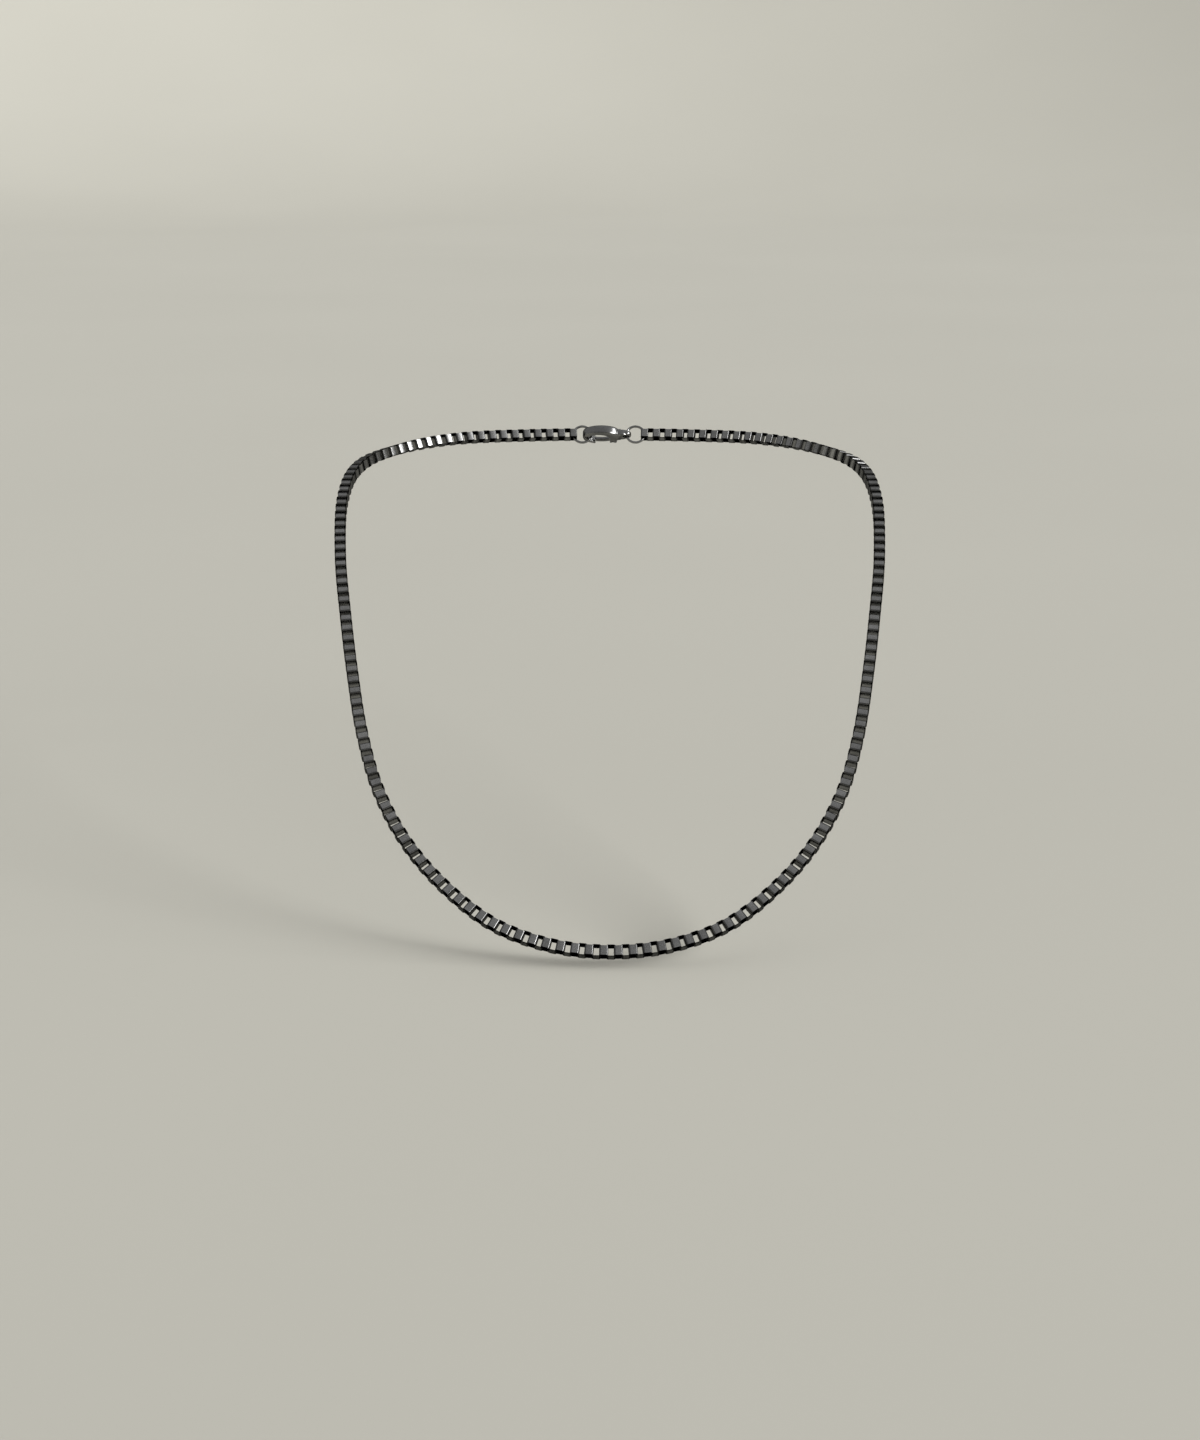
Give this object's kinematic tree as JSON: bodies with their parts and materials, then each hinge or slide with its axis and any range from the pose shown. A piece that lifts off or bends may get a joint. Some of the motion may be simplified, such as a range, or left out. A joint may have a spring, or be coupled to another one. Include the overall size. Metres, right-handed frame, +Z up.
{
  "type": "chain necklace",
  "caption": "Box chain necklace of bent-strip links, each turned a quarter from the last, closed at the nape by rings and a lobster clasp with a sprung lever.",
  "frame": {"origin": "middle of the wearer's neck, level with the nape of the chain", "axes": "+X to the wearer's left, +Y to the nape, +Z up; the front of the chain is at -Y"},
  "size_m": [0.125, 0.1472, 0.0872],
  "materials": {
    "gunmetal_satin": "dark gunmetal plating, satin",
    "gunmetal_polished": "dark gunmetal plating, polished",
    "spring_steel": "bright drawn wire"
  },
  "bodies": {
    "nape": {"chain_left_21": "gunmetal_satin", "chain_left_22": "gunmetal_satin", "chain_left_23": "gunmetal_satin", "chain_left_24": "gunmetal_satin", "chain_left_25": "gunmetal_satin", "chain_left_26": "gunmetal_satin", "chain_right_21": "gunmetal_satin", "chain_right_22": "gunmetal_satin", "chain_right_23": "gunmetal_satin", "chain_right_24": "gunmetal_satin", "chain_right_25": "gunmetal_satin", "chain_right_26": "gunmetal_satin"},
    "band_1": {"chain_left_20": "gunmetal_satin", "chain_left_19": "gunmetal_satin", "chain_left_18": "gunmetal_satin", "chain_left_17": "gunmetal_satin", "chain_right_20": "gunmetal_satin", "chain_right_19": "gunmetal_satin", "chain_right_18": "gunmetal_satin", "chain_right_17": "gunmetal_satin"},
    "band_2": {"chain_left_16": "gunmetal_satin", "chain_left_15": "gunmetal_satin", "chain_left_14": "gunmetal_satin", "chain_left_13": "gunmetal_satin", "chain_right_16": "gunmetal_satin", "chain_right_15": "gunmetal_satin", "chain_right_14": "gunmetal_satin", "chain_right_13": "gunmetal_satin"},
    "band_3": {"chain_left_12": "gunmetal_satin", "chain_left_11": "gunmetal_satin", "chain_left_10": "gunmetal_satin", "chain_right_12": "gunmetal_satin", "chain_right_11": "gunmetal_satin", "chain_right_10": "gunmetal_satin"},
    "band_4": {"chain_left_09": "gunmetal_satin", "chain_left_08": "gunmetal_satin", "chain_left_07": "gunmetal_satin", "chain_right_09": "gunmetal_satin", "chain_right_08": "gunmetal_satin", "chain_right_07": "gunmetal_satin"},
    "band_5": {"chain_left_06": "gunmetal_satin", "chain_left_05": "gunmetal_satin", "chain_left_04": "gunmetal_satin", "chain_right_06": "gunmetal_satin", "chain_right_05": "gunmetal_satin", "chain_right_04": "gunmetal_satin"},
    "band_6": {"chain_left_03": "gunmetal_satin", "chain_left_02": "gunmetal_satin", "chain_left_01": "gunmetal_satin", "chain_right_03": "gunmetal_satin", "chain_right_02": "gunmetal_satin", "chain_right_01": "gunmetal_satin"},
    "front": {"chain_front": "gunmetal_satin"},
    "clasp": {"clasp_body": "gunmetal_polished", "clasp_rivet": "gunmetal_polished", "clasp_spring": "spring_steel"},
    "lever": {"clasp_lever": "gunmetal_polished"},
    "catch_ring": {"catch_ring": "gunmetal_polished"},
    "clasp_ring": {"clasp_ring": "gunmetal_polished"}
  },
  "joints": [
    {"name": "band_1_lift", "type": "hinge", "parent": "nape", "child": "band_1", "pos_m": [0, 0.03072, -0.00256], "axis": [-1, 0, 0], "range_deg": [0, 3.5]},
    {"name": "band_2_lift", "type": "hinge", "parent": "band_1", "child": "band_2", "pos_m": [0, -0.0008, -0.01196], "axis": [-1, 0, 0], "range_deg": [0, 8]},
    {"name": "band_3_lift", "type": "hinge", "parent": "band_2", "child": "band_3", "pos_m": [0, -0.03087, -0.02852], "axis": [-1, 0, 0], "range_deg": [0, 8]},
    {"name": "band_4_lift", "type": "hinge", "parent": "band_3", "child": "band_4", "pos_m": [0, -0.05119, -0.04403], "axis": [-1, 0, 0], "range_deg": [0, 8]},
    {"name": "band_5_lift", "type": "hinge", "parent": "band_4", "child": "band_5", "pos_m": [0, -0.06886, -0.06126], "axis": [-1, 0, 0], "range_deg": [0, 4]},
    {"name": "band_6_lift", "type": "hinge", "parent": "band_5", "child": "band_6", "pos_m": [0, -0.08217, -0.07618], "axis": [-1, 0, 0], "range_deg": [0, 2.2]},
    {"name": "front_lift", "type": "hinge", "parent": "band_6", "child": "front", "pos_m": [0, -0.08805, -0.08349], "axis": [-1, 0, 0], "range_deg": [0, 1.6]},
    {"name": "clasp_rock", "type": "hinge", "parent": "nape", "child": "clasp", "pos_m": [0, 0.0533, 0], "axis": [1, 0, 0], "range_deg": [-10, 10]},
    {"name": "lever_open", "type": "hinge", "parent": "clasp", "child": "lever", "pos_m": [0.0012, 0.05428, -0.0007], "axis": [0.0018, 0.5793, 0.8151], "range_deg": [0, 25], "stiffness_Nm_per_rad": 0.005, "springref_deg": -17.19},
    {"name": "catch_ring_spin", "type": "hinge", "parent": "nape", "child": "catch_ring", "pos_m": [-0.00659, 0.0533, 0], "axis": [0, 0.8151, -0.5793], "continuous": true},
    {"name": "clasp_ring_spin", "type": "hinge", "parent": "nape", "child": "clasp_ring", "pos_m": [0.00659, 0.0533, 0], "axis": [0, 0.8151, -0.5793], "continuous": true}
  ]
}
